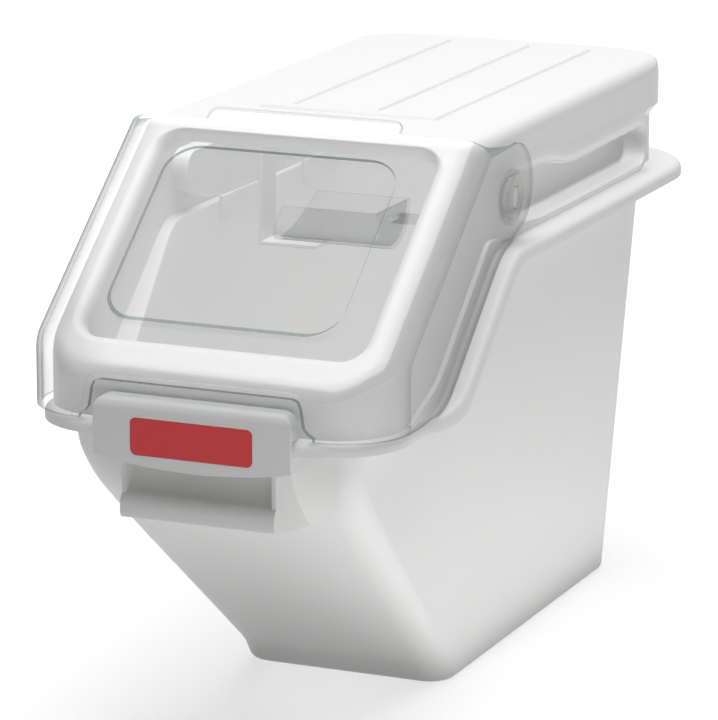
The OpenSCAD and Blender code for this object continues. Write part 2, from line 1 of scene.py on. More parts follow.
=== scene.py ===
# %% [markdown]
# # A shelf ingredient bin for a bakery
# A white moulded tub with a slanted front stands on a shelf. A white hood sits on its rim, a clear lid tilts up
# in front of the hood's mouth, and a scoop hangs inside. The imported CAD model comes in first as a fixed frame, so
# every piece made here lands where the solids say, in metres.

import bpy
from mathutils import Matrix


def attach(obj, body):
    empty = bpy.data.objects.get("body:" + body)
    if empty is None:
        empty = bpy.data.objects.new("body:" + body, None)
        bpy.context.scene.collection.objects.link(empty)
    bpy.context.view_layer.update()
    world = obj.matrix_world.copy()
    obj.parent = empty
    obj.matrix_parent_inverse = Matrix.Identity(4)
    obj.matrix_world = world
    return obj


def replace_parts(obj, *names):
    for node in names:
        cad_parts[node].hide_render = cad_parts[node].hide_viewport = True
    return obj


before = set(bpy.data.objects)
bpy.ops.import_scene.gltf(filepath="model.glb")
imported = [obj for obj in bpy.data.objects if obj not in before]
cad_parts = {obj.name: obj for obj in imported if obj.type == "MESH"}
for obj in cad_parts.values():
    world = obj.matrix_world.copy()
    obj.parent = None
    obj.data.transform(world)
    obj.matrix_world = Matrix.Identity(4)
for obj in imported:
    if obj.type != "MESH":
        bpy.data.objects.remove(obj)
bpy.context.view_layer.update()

import math

import bmesh
import bpy
import numpy as np
from mathutils import Vector

# %% [markdown]
# ## The bin's own sizes
# A moulder's drawing gives the rim's two levels, the slope between them and the plan of each part. The same
# numbers are written here in millimetres, because a drawing in millimetres is easy to compare with a ruler.
# Meshes are turned to metres in one place only.

# %% Sizes in millimetres
MM = 0.001
WALL, HANDS = 3.0, ((-1, "left"), (1, "right"))
BASE_W, BASE_FRONT, BASE_REAR = 79.0, -60.862, 267.138
RIM_LOW, RIM_HIGH, SLOPE_START, SLOPE_END = 237.0, 327.0, -209.862, -77.862
FLANGE_FRONT, FLANGE_REAR, FLANGE_NOSE_W, FLANGE_SIDE_W = -304.362, 308.562, 130.203, 145.413
ROOF, HOOD_W, HOOD_FRONT, HOOD_REAR = 404.5, 124.913, -293.862, 284.062
LID_W, LID_FRONT, LID_TOP_Y, LID_TOP_Z, LID_CHIN = 133.913, -301.862, -129.862, 409.0, 32.7
PIVOT_Y, PIVOT_Z = -68.862, 359.0
TAN = (LID_TOP_Z - RIM_LOW - LID_CHIN) / (LID_TOP_Y - LID_FRONT)
COS, SIN = math.cos(math.atan(TAN)), math.sin(math.atan(TAN))
CHIN_BAND = 37.0
MOUTH_W, MOUTH_TOP, MOUTH_END = 101.913, 5.0, (LID_TOP_Y - LID_FRONT) / COS - CHIN_BAND
print("lid slope", round(math.degrees(math.atan(TAN)), 1), "degrees, mouth ends at", round(MOUTH_END, 1))

# %% [markdown]
# ## Mesh helpers
# Most of the bin is a skin drawn through closed loops, the way a boat is planked over its frames. One function
# turns points and faces into an object, one skins loops, one cuts with an exact boolean, and one shades the
# result: smooth over soft bends, split where the moulding really has an edge, with flat faces kept flat by
# weighted normals.

# %% Points, skins, cuts and shading
WELD_M = 1e-6


def piece(name, points, faces, slots=None):
    mesh = bpy.data.meshes.new(name)
    mesh.from_pydata((np.asarray(points, float) * MM).tolist(), [], faces)
    mesh.polygons.foreach_set("material_index", slots or [0] * len(faces))
    work = bmesh.new()
    work.from_mesh(mesh)
    bmesh.ops.remove_doubles(work, verts=work.verts, dist=WELD_M)
    bmesh.ops.recalc_face_normals(work, faces=work.faces)
    work.to_mesh(mesh)
    work.free()
    obj = bpy.data.objects.new(name, mesh)
    bpy.context.scene.collection.objects.link(obj)
    return obj


def skin(name, loops, ring=False, slot=None):
    loops = np.asarray(loops, float)
    m, n = loops.shape[:2]
    rows = [(j, (j + 1) % m) for j in range(m if ring else m - 1)]
    steps = [(i, (i + 1) % n) for i in range(n)]
    faces = [(a * n + i, a * n + k, b * n + k, b * n + i) for a, b in rows for i, k in steps]
    slots = [slot(a, i) if slot else 0 for a, _ in rows for i, _ in steps]
    if not ring:
        faces += [tuple(range(n))[::-1], tuple(range((m - 1) * n, m * n))]
        slots += [0, 0]
    return piece(name, loops.reshape(-1, 3), faces, slots)


def settle(obj):
    mesh = bpy.data.meshes.new_from_object(obj.evaluated_get(bpy.context.evaluated_depsgraph_get()))
    obj.modifiers.clear()
    old, obj.data = obj.data, mesh
    bpy.data.meshes.remove(old)
    return obj


def carve(obj, tool, how="DIFFERENCE"):
    cut = obj.modifiers.new("carve", "BOOLEAN")
    cut.object, cut.operation, cut.solver = tool, how, "EXACT"
    settle(obj)
    bpy.data.objects.remove(tool)
    return obj


def shade(obj, sharp=32):
    obj.data.polygons.foreach_set("use_smooth", [True] * len(obj.data.polygons))
    obj.data.set_sharp_from_angle(angle=math.radians(sharp))
    flat = obj.modifiers.new("flat_faces", "WEIGHTED_NORMAL")
    flat.keep_sharp = True
    return obj


def round_edges(obj, width, steps=3, sharp=30):
    edge = obj.modifiers.new("edge", "BEVEL")
    edge.width, edge.segments, edge.limit_method = width * MM, steps, "ANGLE"
    edge.angle_limit = math.radians(sharp)
    return settle(obj)


print("mesh helpers", [f.__name__ for f in (piece, skin, settle, carve, shade, round_edges)])

# %% [markdown]
# ## Camera
# The photograph looks down a little on the front right corner from some distance, so the lens is long and the
# lines stay nearly parallel. The camera is set before anything is made, and its place was fitted to the corners
# of the bin in the picture.

# %% Camera at the photograph's angle
def aimed(obj, place, target):
    bpy.context.scene.collection.objects.link(obj)
    obj.location, obj.rotation_mode = place, "QUATERNION"
    obj.rotation_quaternion = (Vector(target) - Vector(place)).to_track_quat("-Z", "Y")
    return obj


eye = bpy.data.objects.new("photo_camera", bpy.data.cameras.new("photo_camera"))
aimed(eye, (1.2057, -2.81655, 0.9716), (0, -0.03175, 0.2234))
eye.data.sensor_fit, eye.data.sensor_width, eye.data.lens = "HORIZONTAL", 36, 221.07
bpy.context.scene.camera = eye
print("camera", [round(v, 3) for v in eye.location])

# %% [markdown]
# ## Materials: one node helper and one colour helper
# Every finish below is built from the same helpers: one turns an sRGB hex colour to the linear numbers that
# Blender works in, one adds a node with its settings and links, and one starts an empty material.

# %% Colour and node helpers
def linear(hex_colour):
    parts = [int(hex_colour[i : i + 2], 16) / 255 for i in (1, 3, 5)]
    return [c / 12.92 if c <= 0.04045 else ((c + 0.055) / 1.055) ** 2.4 for c in parts] + [1.0]


def add(tree, kind, settings=None, links=None):
    made = tree.nodes.new("ShaderNode" + kind)
    for key, value in (settings or {}).items():
        if isinstance(key, str) and hasattr(made, key):
            setattr(made, key, value)
        else:
            made.inputs[key].default_value = value
    for key, socket in (links or {}).items():
        tree.links.new(socket, made.inputs[key])
    return made


def finish(name):
    made = bpy.data.materials.new(name)
    made.use_nodes = True
    made.node_tree.nodes.clear()
    return made, made.node_tree


print("middle grey is", round(linear("#808080")[0], 3), "in linear light")

# %% [markdown]
# ## White moulded plastic
# The tub is polyethylene, moulded in a lightly sparked tool, so it is satin: broad soft highlights, no mirror.
# The hood is polypropylene and the handle ABS, both a little glossier. The eye reads them from slow changes of
# tone where the melt flowed, about 90 mm apart, and from a fine grain that breaks the highlights. The real grain
# is about 0.5 mm, too fine for this picture, so it is drawn at 2 mm.
#
# A thin white wall also lets light through, so the inside of such a bin is never dark. Subsurface scattering could
# show that, but it is slow and patchy in a shell this thin. Instead, a share of the shadow and diffuse rays passes
# straight through the wall, while the camera still sees a solid surface.

# %% White plastics
FLOW_MM, GRAIN_DEEP_MM, PLASTIC_IOR = 90, 0.4, 1.5


def moulded_white(name, pale, flow, gloss, grain_mm, grain, leak):
    made, tree = finish(name)
    place = add(tree, "TexCoord").outputs["Object"]
    melt = add(tree, "TexNoise", {"Scale": 1 / (FLOW_MM * MM), "Detail": 3.0, "Roughness": 0.5}, {
        "Vector": place})
    tone = add(tree, "Mix", {"data_type": "RGBA", 6: linear(pale), 7: linear(flow)}, {0: melt.outputs["Fac"]})
    spark = add(tree, "TexNoise", {"Scale": 1 / (grain_mm * MM), "Detail": 2.0}, {"Vector": place})
    satin = add(tree, "MapRange", {"To Min": gloss - 0.05, "To Max": gloss + 0.07}, {
        "Value": spark.outputs["Fac"]})
    bump = add(tree, "Bump", {"Strength": grain, "Distance": GRAIN_DEEP_MM * MM}, {
        "Height": spark.outputs["Fac"]})
    body = add(tree, "BsdfPrincipled", {"IOR": PLASTIC_IOR}, {
        "Base Color": tone.outputs[2], "Roughness": satin.outputs["Result"], "Normal": bump.outputs["Normal"]})
    through = add(tree, "BsdfTransparent", {"Color": linear("#FFFFFF")})
    thin = add(tree, "MixShader", {0: leak}, {1: body.outputs["BSDF"], 2: through.outputs["BSDF"]})
    path = add(tree, "LightPath")
    wall = body.outputs["BSDF"]
    for ray in ("Is Shadow Ray", "Is Diffuse Ray"):
        mix = add(tree, "MixShader", {}, {0: path.outputs[ray], 1: wall, 2: thin.outputs["Shader"]})
        wall = mix.outputs["Shader"]
    add(tree, "OutputMaterial", {}, {"Surface": wall})
    return made


tub_white = moulded_white("polyethylene_moulded_satin", "#FAFAF9", "#F7F7F6", 0.46, 2.0, 0.05, 0.5)
hood_white = moulded_white("polypropylene_moulded_semi_gloss", "#F9F9F9", "#F6F6F6", 0.34, 2.0, 0.05, 0.92)
grip_white = moulded_white("abs_moulded_handle", "#EEEEED", "#E8E8E7", 0.36, 1.6, 0.08, 0.0)
hanger_white = moulded_white("polypropylene_moulded_hanger", "#FBFBFA", "#F7F7F6", 0.38, 1.6, 0.05, 0.85)
print("white plastics", [m.name for m in (tub_white, hood_white, grip_white, hanger_white)])

# %% [markdown]
# ## Clear moulded plastic
# The lid is polycarbonate, polished in the tool, 3 mm thick. Faced squarely it hardly shows, and where a wall
# turns away from the eye it greys and mirrors the room, which draws its outline. Glass with refraction would be
# the textbook way, but a wall this thin bends nothing worth seeing. So each face is a transparent shader with a
# weak mirror that grows towards the edge, and a tint that darkens at a slant. That grey is a painted reflection
# of a grey room, since the mirror here sees a white surround. The cut edges show the depth of the material and
# get a darker tint, which is painted shade for the dark lines that light bent inside the edge draws. The rim is
# plainer and a little grey, the same painted shade. The bend along each side greys sooner than a flat wall, the
# same painted reflection.

# %% Clear plastics
RIPPLE_MM, RIPPLE_DEEP_MM, EDGE_RISE, EDGE_SHINE = 35, 0.4, 4.5, 3.2


def clear_plastic(name, square_on, aslant, gloss, ripple, shine=0.034, turn=3.0):
    made, tree = finish(name)
    place = add(tree, "TexCoord").outputs["Object"]
    flow = add(tree, "TexNoise", {"Scale": 1 / (RIPPLE_MM * MM), "Detail": 1.0}, {"Vector": place})
    bump = add(tree, "Bump", {"Strength": ripple, "Distance": RIPPLE_DEEP_MM * MM}, {
        "Height": flow.outputs["Fac"]})
    angle = add(tree, "LayerWeight", {"Blend": 0.5}, {"Normal": bump.outputs["Normal"]})
    # The tint greys as the face turns away: a painted reflection of a grey room.
    steep = add(tree, "Math", {"operation": "POWER", 1: turn}, {0: angle.outputs["Facing"]})
    tint = add(tree, "Mix", {"data_type": "RGBA", 6: linear(square_on), 7: linear(aslant)}, {
        0: steep.outputs[0]})
    clear = add(tree, "BsdfTransparent", {}, {"Color": tint.outputs[2]})
    haze = add(tree, "MapRange", {"To Min": gloss, "To Max": gloss + 0.04}, {"Value": flow.outputs["Fac"]})
    mirror = add(tree, "BsdfGlossy", {"Color": linear("#F8F8F8")}, {
        "Roughness": haze.outputs["Result"], "Normal": bump.outputs["Normal"]})
    rise = add(tree, "Math", {"operation": "POWER", 1: EDGE_RISE}, {0: angle.outputs["Facing"]})
    share = add(tree, "MapRange", {"To Min": shine, "To Max": EDGE_SHINE * shine}, {"Value": rise.outputs[0]})
    both = add(tree, "MixShader", {}, {
        0: share.outputs["Result"], 1: clear.outputs["BSDF"], 2: mirror.outputs["BSDF"]})
    add(tree, "OutputMaterial", {}, {"Surface": both.outputs["Shader"]})
    return made


lid_clear = clear_plastic("polycarbonate_moulded_clear", "#FDFDFD", "#D0D2D1", 0.05, 0.02)
# The edge and rim tints are darker: painted shade for the dark lines seen through the cut depth of the wall.
lid_edge = clear_plastic("polycarbonate_cut_edge", "#BAC2C4", "#868A89", 0.10, 0.05)
lid_rim = clear_plastic("polycarbonate_moulded_rim", "#E6E9E9", "#B2B6B5", 0.10, 0.02, 0.006)
# The bend's tint greys sooner: painted reflection of a grey room along the lid's outline.
lid_bend = clear_plastic("polycarbonate_moulded_bend", "#FDFDFD", "#8E9291", 0.05, 0.02, turn=2.0)
scoop_clear = clear_plastic("polycarbonate_moulded_scoop", "#FCFDFD", "#CDD1D1", 0.12, 0.05, 0.016)
pivot_frost = clear_plastic("polycarbonate_frosted_pivot", "#FCFCFB", "#EBECEB", 0.10, 0.08, 0.05)
lid_plastics = (lid_clear, lid_edge, lid_rim, lid_bend)
print("clear plastics", [m.name for m in (*lid_plastics, scoop_clear, pivot_frost)])

# %% [markdown]
# ## Red label film
# A blank label panel sits in the face of the handle block. It is a printed and laminated film, so the red is even,
# with a slight unevenness of the ink, in patches of about 12 mm, and a low satin shine from the laminate.

# %% Red film
INK_MM, FILM_IOR = 12, 1.52
label_red, tree = finish("vinyl_printed_laminated_red")
place = add(tree, "TexCoord").outputs["Object"]
ink = add(tree, "TexNoise", {"Scale": 1 / (INK_MM * MM), "Detail": 4.0}, {"Vector": place})
reds = {"data_type": "RGBA", 6: linear("#DA2028"), 7: linear("#E2282E")}
tone = add(tree, "Mix", reds, {0: ink.outputs["Fac"]})
film = add(tree, "MapRange", {"To Min": 0.30, "To Max": 0.40}, {"Value": ink.outputs["Fac"]})
body = add(tree, "BsdfPrincipled", {"IOR": FILM_IOR}, {
    "Base Color": tone.outputs[2], "Roughness": film.outputs["Result"]})
add(tree, "OutputMaterial", {}, {"Surface": body.outputs["BSDF"]})
print("label film", label_red.name)

# %% [markdown]
# ## The rim's line
# The rim is low at the front, climbs a slope and runs level to the rear. The tub, the hood and the lid all follow
# it, so its height is one function: a straight ramp with rounded ends. A second one gives the gap that the hood
# and the lid keep above it, wider on the slope.

# %% Rim height along the side
RIM_BEND, GAP_LEVEL, GAP_SLOPE = 0.22, 0.3, 1.35


def ramp(t, b):
    t = np.clip(t, 0, 1)
    return np.where(t < b, t * t / (2 * b * (1 - b)), np.where(
        t > 1 - b, 1 - (1 - t) ** 2 / (2 * b * (1 - b)), (t - b / 2) / (1 - b)))


def rim_z(y):
    return RIM_LOW + (RIM_HIGH - RIM_LOW) * ramp((y - SLOPE_START) / (SLOPE_END - SLOPE_START), RIM_BEND)


def rim_space(y):
    t = (y - SLOPE_START) / (SLOPE_END - SLOPE_START)
    return GAP_LEVEL + GAP_SLOPE * np.clip(np.minimum(6 * (t + 0.2), 6 * (1.2 - t)), 0, 1)


def rim_line(y):
    return np.column_stack([y, rim_z(y) + rim_space(y)])


print("rim at the middle of the slope", round(float(rim_z((SLOPE_START + SLOPE_END) / 2)), 1), "mm")

# %% [markdown]
# ## Tub
# The tub is one open moulding: a toe at the foot, a front wall that leans far forward, sides with draft, and a rim
# whose edge turns out and down. It could be a subdivided box, but the corner radii change all the way up, so loops
# of the true plan at many heights are skinned instead, up the outside, over the flange and down the inside.

# %% Points round the plan: two nose corners, a side, two tail corners, a side
ARC, SIDE = 14, 72
turn = np.linspace(0, 90, ARC + 1)
along = np.interp(np.arange(1, SIDE) / SIDE, [0, 0.8, 1], [0, 0.45, 1])
PART = np.repeat(range(6), [ARC + 1, ARC + 1, SIDE - 1] * 2)
ANGLE = np.radians(np.concatenate([180 + turn, 270 + turn, 0 * along, turn, 90 + turn, 0 * along]))
ALONG = np.concatenate([0 * turn, 0 * turn, along, 0 * turn, 0 * turn, along[::-1]])
HAND = np.select([PART == 0, PART >= 4], [-1, -1], 1)
NOSE, TAIL = PART <= 1, (PART == 3) | (PART == 4)


def plan(half, front, rear, nose_r, tail_r):
    r = np.where(NOSE, nose_r, tail_r)
    x = HAND * half + np.where(NOSE | TAIL, r * (np.cos(ANGLE) - HAND), 0)
    side = front + nose_r + (rear - tail_r - front - nose_r) * ALONG
    tail = np.where(TAIL, rear - tail_r * (1 - np.sin(ANGLE)), side)
    return x, np.where(NOSE, front + nose_r * (1 + np.sin(ANGLE)), tail)


print("plan points", len(PART))

# %% Plan of the wall at each height
SIDE_DRAFT, REAR_DRAFT, LEAN, LEAN_BLUR = 0.119, 0.012, 215.5, np.linspace(-5, 5, 5)
LEAN_Z = np.array([0, 0.06, 0.253, 0.536, 0.675, 0.751, 0.81, 0.869, 0.92, 0.958, 1.4]) * RIM_LOW
LEAN_Y = np.array([0, 0.028, 0.278, 0.65, 0.826, 0.91, 0.956, 0.986, 0.998, 1, 1]) * LEAN
NOSE_AT, NOSE_R = [0, 0.7, 0.88, 0.955, 1], [20, 23.5, 14, 14, 24]
TAIL_R, TAIL_GROWTH = 14, 0.14


def wall_plan(z, grow):
    front = BASE_FRONT - np.mean([np.interp(z + d, LEAN_Z, LEAN_Y) for d in LEAN_BLUR], axis=0)
    nose_r = np.interp(z / RIM_LOW, NOSE_AT, NOSE_R) + grow
    tail_r = np.maximum(1, TAIL_R + TAIL_GROWTH * z + grow)
    return plan(BASE_W + SIDE_DRAFT * z + grow, front - grow, BASE_REAR + REAR_DRAFT * z + grow, nose_r, tail_r)


rim_top = np.full(len(PART), RIM_LOW)
for again in range(2):
    rim_top = rim_z(wall_plan(rim_top, 0)[1])
print("rim runs from", round(rim_top.min(), 1), "to", round(rim_top.max(), 1), "mm")

# %% Loops of the wall, the rim and the flange
FOOT_Z, FLANGE_NOSE_R, FLANGE_TAIL_R = 14, 54, 86


def wall_loop(share, grow):
    z = FOOT_Z + (rim_top - WALL - FOOT_Z) * share
    return np.column_stack([*wall_plan(z, grow), z])


def flat_loop(z, grow):
    z = np.full(len(PART), float(z))
    return np.column_stack([*wall_plan(z, grow), z])


def rim_loop(grow, drop):
    return np.column_stack([*wall_plan(rim_top, grow), rim_top - drop])


def flange_loop(inset, drop):
    half = np.where(NOSE, FLANGE_NOSE_W, FLANGE_SIDE_W) - inset
    ends = FLANGE_FRONT + inset, FLANGE_REAR - inset, FLANGE_NOSE_R - inset, FLANGE_TAIL_R - inset
    y = plan(half, *ends)[1]
    widen = ramp((y - SLOPE_START + 17) / 50, 0.3)
    side = FLANGE_NOSE_W + (FLANGE_SIDE_W - FLANGE_NOSE_W) * widen - inset
    x, y = plan(np.where(NOSE | TAIL, half, side), *ends)
    steep = (rim_z(y + 1) - rim_z(y - 1)) / 2
    return np.column_stack([x, y, rim_z(y) - drop * np.sqrt(1 + steep**2)])


print("flange", [round(v) for v in np.ptp(flange_loop(0, 0), axis=0)[:2]], "mm across and along")

# %% Skin of the tub
FOOT_R, FLANGE_R, FLANGE_DROP, FLOOR_TOP, FLOOR_R = 5, 6, 9.5, 3.6, 7
heights = np.concatenate([np.linspace(0, 0.7, 26), np.linspace(0.7, 1, 22)[1:]])
quarter = np.radians(np.linspace(0, 90, 7))
tub_loops = [flat_loop(FOOT_R - FOOT_R * math.cos(a), -FOOT_R + FOOT_R * math.sin(a)) for a in quarter]
tub_loops += [wall_loop(s, 0) for s in heights]
tub_loops += [flange_loop(WALL, WALL), flange_loop(WALL, FLANGE_DROP)]
tub_loops += [flange_loop(0.8, FLANGE_DROP), flange_loop(0.1, 9.2)]
tub_loops += [flange_loop(FLANGE_R - FLANGE_R * math.cos(a), FLANGE_R - FLANGE_R * math.sin(a)) for a in quarter]
tub_loops += [flange_loop(9, 0), rim_loop(1, 0), rim_loop(-1.2, 0), rim_loop(-2.5, 0.5), rim_loop(-WALL, 1.6)]
tub_loops += [wall_loop(s, -WALL) for s in heights[::-3]]
tub_loops += [flat_loop(FLOOR_TOP + FLOOR_R * (1 - math.sin(a)), -WALL - FLOOR_R * (1 - math.cos(a)))
              for a in quarter[1:]]
tub = shade(skin("tub_moulding", tub_loops), 40)
tub.data.materials.append(tub_white)
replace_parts(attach(tub, "tub_body"), "tub")
print("tub faces", len(tub.data.polygons))

# %% [markdown]
# ## Hood shell
# The hood is a thin moulding too: a level roof with soft shoulders, a sloped face under the lid, and a lower edge
# that follows the rim. Its side view hardly changes across the width, so side views at many stations are skinned
# from left to right, and the same skin 3 mm smaller is cut out of it.

# %% Rounded ends and corners
def edge_inset(x, half, r):
    past = abs(x) - (half - r)
    return 0.0 if past <= 0 else r - math.sqrt(max(0.0, r * r - past * past))


def fillet(a, b, c, r, n):
    a, b, c = np.array(a), np.array(b), np.array(c)
    u, v = (a - b) / np.linalg.norm(a - b), (c - b) / np.linalg.norm(c - b)
    half = math.acos(max(-1, min(1, float(u @ v)))) / 2
    mid = b + (u + v) / np.linalg.norm(u + v) * (r / math.sin(half))
    p, q, span = b + u * r / math.tan(half) - mid, b + v * r / math.tan(half) - mid, math.pi - 2 * half
    w = np.linspace(0, 1, n + 1)[:, None]
    return mid + (np.sin((1 - w) * span) * p + np.sin(w * span) * q) / math.sin(span)


def stations(half, r, steps, mid):
    bend = half - r * (1 - np.sin(np.radians(np.linspace(0, 90, steps + 1))))
    return np.concatenate([-bend[::-1], np.linspace(-bend[0], bend[0], mid)[1:-1], bend])


def facing_x(x, outline):
    return np.column_stack([np.full(len(outline), x), outline])


print("a 10 mm shoulder drops", round(edge_inset(HOOD_W - 2, HOOD_W, 10), 2), "mm at 2 mm from the side")

# %% Side view of the hood at one station
REAR_R, STEP, STEP_Z, CORNER_IN = 52.0, 6.3, 371.5, 43
SHOULDER_R, HOOD_NOSE_R, FACE_R, LID_GAP = 10, 44, 17, 7
REAR_EDGE_R, BROW_R, CHIN_R, CHIN_LOW = 9, 15, 24, 197.0
EDGE_AT, EDGE_TO = [0, 0.78, 1], [0, 0.42, 1]


def rear_inset(x, half, wall):
    if wall == 0:
        return edge_inset(x, half, REAR_R)
    r = REAR_R - STEP - wall
    past = abs(x) - (half - STEP - r)
    if past <= r:
        return 0.0 if past <= 0 else r - math.sqrt(r * r - past * past)
    return r + (past - r) * CORNER_IN / STEP


def hood_side(x, half, wall, rear, low):
    rear = rear - rear_inset(x, half, wall)
    top = ROOF - wall - edge_inset(x, half, SHOULDER_R - wall)
    front = HOOD_FRONT + wall + edge_inset(x, half, HOOD_NOSE_R - wall)
    line = LID_TOP_Z - (edge_inset(x, half, FACE_R - wall) + wall + LID_GAP) / COS
    brow = [LID_TOP_Y + (top - line) / TAN, top]
    chin = [front, line + (front - LID_TOP_Y) * TAN]
    y = front + (rear - front) * np.interp(np.arange(73) / 72, EDGE_AT, EDGE_TO)
    return np.concatenate([
        fillet([rear, RIM_HIGH], [rear, top], brow, REAR_EDGE_R - wall, 10),
        fillet([rear, top], brow, chin, BROW_R, 8),
        fillet(brow, chin, [front, CHIN_LOW], CHIN_R - wall, 12),
        np.column_stack([y, rim_z(y) + rim_space(y) - low])])


def hood_skin(name, half, wall, rear, low):
    return skin(name, [facing_x(x, hood_side(x, half, wall, rear, low))
                       for x in stations(half, REAR_R - wall, 18, 10)])


hood = hood_skin("hood_shell", HOOD_W, 0, HOOD_REAR, 0)
carve(hood, hood_skin("core", HOOD_W - WALL, WALL, HOOD_REAR - STEP - WALL, 8))
print("hood shell faces", len(hood.data.polygons))

# %% [markdown]
# ## Openings in the hood
# The mouth, the two side tracks and the step round the lower rear come next. A moulded opening never has a knife
# edge: here the wall rolls in round the mouth and stands out as a bead round each track. The openings are cut with
# exact booleans, and the rolled edges are skinned round the same outlines.

# %% Mouth with a rolled edge
ROLL, MOUTH_R, LIP = 8.0, 16, 4


def round_rect(x0, x1, y0, y1, r, grow=0.0, n=10, top=1.0):
    a = np.radians(np.linspace(0, 90, n + 1))
    x0, x1, y0, y1, r = x0 - grow, x1 + grow, y0 - grow * top, y1 + grow, r + grow
    ring = [(x1 - r, y1 - r, 0), (x0 + r, y1 - r, 1), (x0 + r, y0 + r, 2), (x1 - r, y0 + r, 3)]
    return np.concatenate([np.column_stack([
        cx + r * np.cos(a + k * math.pi / 2), cy + r * np.sin(a + k * math.pi / 2)]) for cx, cy, k in ring])


def on_slope(flat, depth):
    s = flat[:, 1]
    return np.column_stack([flat[:, 0], LID_TOP_Y - s * COS + depth * SIN, LID_TOP_Z - s * SIN - depth * COS])


def mouth_loop(grow, depth):
    return on_slope(round_rect(-MOUTH_W, MOUTH_W, MOUTH_TOP, MOUTH_END, MOUTH_R, grow, 14, 0.2), depth)


carve(hood, skin("mouth", [mouth_loop(ROLL, -12), mouth_loop(ROLL, 60)]))
bend, inner_r, deep = np.radians(np.linspace(0, 90, 11)), ROLL - WALL, LID_GAP + ROLL
roll = [(ROLL - ROLL * math.sin(a), LID_GAP + ROLL * (1 - math.cos(a))) for a in bend]
roll += [(0, deep + LIP), (0.8, deep + LIP + 1), (2.2, deep + LIP + 1), (WALL, deep + LIP)]
roll += [(ROLL - inner_r * math.sin(a), deep - inner_r * math.cos(a)) for a in bend[::-1]]
mouth_edge = skin("hood_mouth_edge", [mouth_loop(g, d) for g, d in roll], ring=True)
print("mouth", round(2 * MOUTH_W), "by", round(MOUTH_END - MOUTH_TOP), "mm")

# %% Outline of a side track: the pin's seat in front, a long slot behind it
SEAT_R, TRACK_END_R, TRACK_REAR = 12.05, 14, HOOD_REAR - 95 - PIVOT_Y
TRACK_TOP = [0, 59, 76, 92, 108, 126, TRACK_REAR], [SEAT_R, 12, 10.4, 6.6, 3.4, 2, 3]
TRACK_LOW = np.array([100, 59, 42, 26, 12]), np.array([25, 24.6, 23.4, 21.6, 17])


def track(grow):
    seat, tail = SEAT_R + grow, TRACK_END_R + grow
    a = np.radians(np.linspace(270, 90, 21))
    nose = np.column_stack([seat * np.cos(a), seat * np.sin(a)])
    y = np.linspace(12, TRACK_REAR - 4, 40)
    top = np.mean([np.interp(y + d, *TRACK_TOP) for d in (-8, -4, 0, 4, 8)], axis=0)
    b = np.radians(np.linspace(90, -90, 21))
    end = np.column_stack([TRACK_REAR + tail * np.cos(b), -11 + tail * np.sin(b)])
    low = np.column_stack([TRACK_LOW[0], -grow - TRACK_LOW[1]])
    return np.concatenate([nose, np.column_stack([y, grow + top]), end, low]) + [PIVOT_Y, PIVOT_Z]


print("track", [round(v) for v in np.ptp(track(0), axis=0)], "mm long and high")

# %% Tracks cut in, a tray behind each and a bead round it, taller behind the pivot
TRACK_DEEP, TRAY_R, BEAD_FLOOR, BEAD_EXTRA = 13, 2.5, [-999, RIM_HIGH + 1.4], 0.9
BEAD = [(0, -4), (0, 0.7), (0.3, 1.6), (1, 2.2), (1.9, 2.4), (2.8, 2.2), (3.7, 1.75), (5, 1.25), (7.5, 0.7),
        (11, 0.28), (15, -0.1), (15, -2)]
TRAY = [(16, 1.8), (14, 3), (1.6, 3), (1.6, 0), (10.5, 0)]
TRAY += [(TRACK_DEEP - TRAY_R * (1 - math.sin(a)), -TRAY_R * (1 - math.cos(a))) for a in quarter[1:]]


def bead_loop(hand, grow, out):
    outline = np.maximum(track(grow), BEAD_FLOOR)
    taller = BEAD_EXTRA * ramp((outline[:, 0] - PIVOT_Y - 24) / 45, 0.4)
    return np.column_stack([hand * (HOOD_W + out + max(out, 0) * taller), outline])


trays, beads = [], []
for hand, side in HANDS:
    carve(hood, skin("track", [facing_x(hand * (HOOD_W + out), track(0.4)) for out in (-TRACK_DEEP, 6)]))
    trays.append(skin("hood_track_" + side, [facing_x(hand * (HOOD_W - back), track(g)) for back, g in TRAY]))
    beads.append(skin("hood_track_bead_" + side, [bead_loop(hand, g, out) for g, out in BEAD], ring=True))
print("trays", [t.name for t in trays], "beads", [b.name for b in beads])

# %% Step round the lower rear
STEP_FADE, LAP = 36, 0.6
STEP_SHAPE = [(316, STEP), (STEP_Z - 9, STEP), (STEP_Z - 7.5, STEP - 0.9), (STEP_Z - 0.8, 0.3), (STEP_Z, -LAP),
              (430, -LAP)]


def level(z, outline):
    return np.column_stack([outline, np.full(len(outline), z)])


def rear_band(z, inset):
    turn_y = HOOD_REAR - REAR_R
    y = np.linspace(turn_y - 60, turn_y, 24)
    fade = ramp((y - turn_y + STEP_FADE) / STEP_FADE, 0.4)
    side = np.column_stack([HOOD_W + LAP - (inset + LAP) * fade, y])
    a = np.radians(np.linspace(0, 90, 19)[1:])
    r = REAR_R - inset
    half = np.concatenate([side, np.column_stack([HOOD_W - REAR_R + r * np.cos(a), turn_y + r * np.sin(a)])])
    return level(z, np.concatenate([half, half[::-1] * [-1, 1]]))


keep = skin("keep", [rear_band(z, inset) for z, inset in STEP_SHAPE])
box_y = HOOD_REAR - REAR_R - 55
box = np.array([[-200, box_y], [200, box_y], [200, 400], [-200, 400]])
carve(hood, carve(skin("waste", [level(z, box) for z in (310, STEP_Z - 0.3)]), keep))
hood.data.materials.append(hood_white)
shade(hood, 30)
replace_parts(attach(hood, "hood_body"), "hood")
print("hood faces", len(hood.data.polygons))

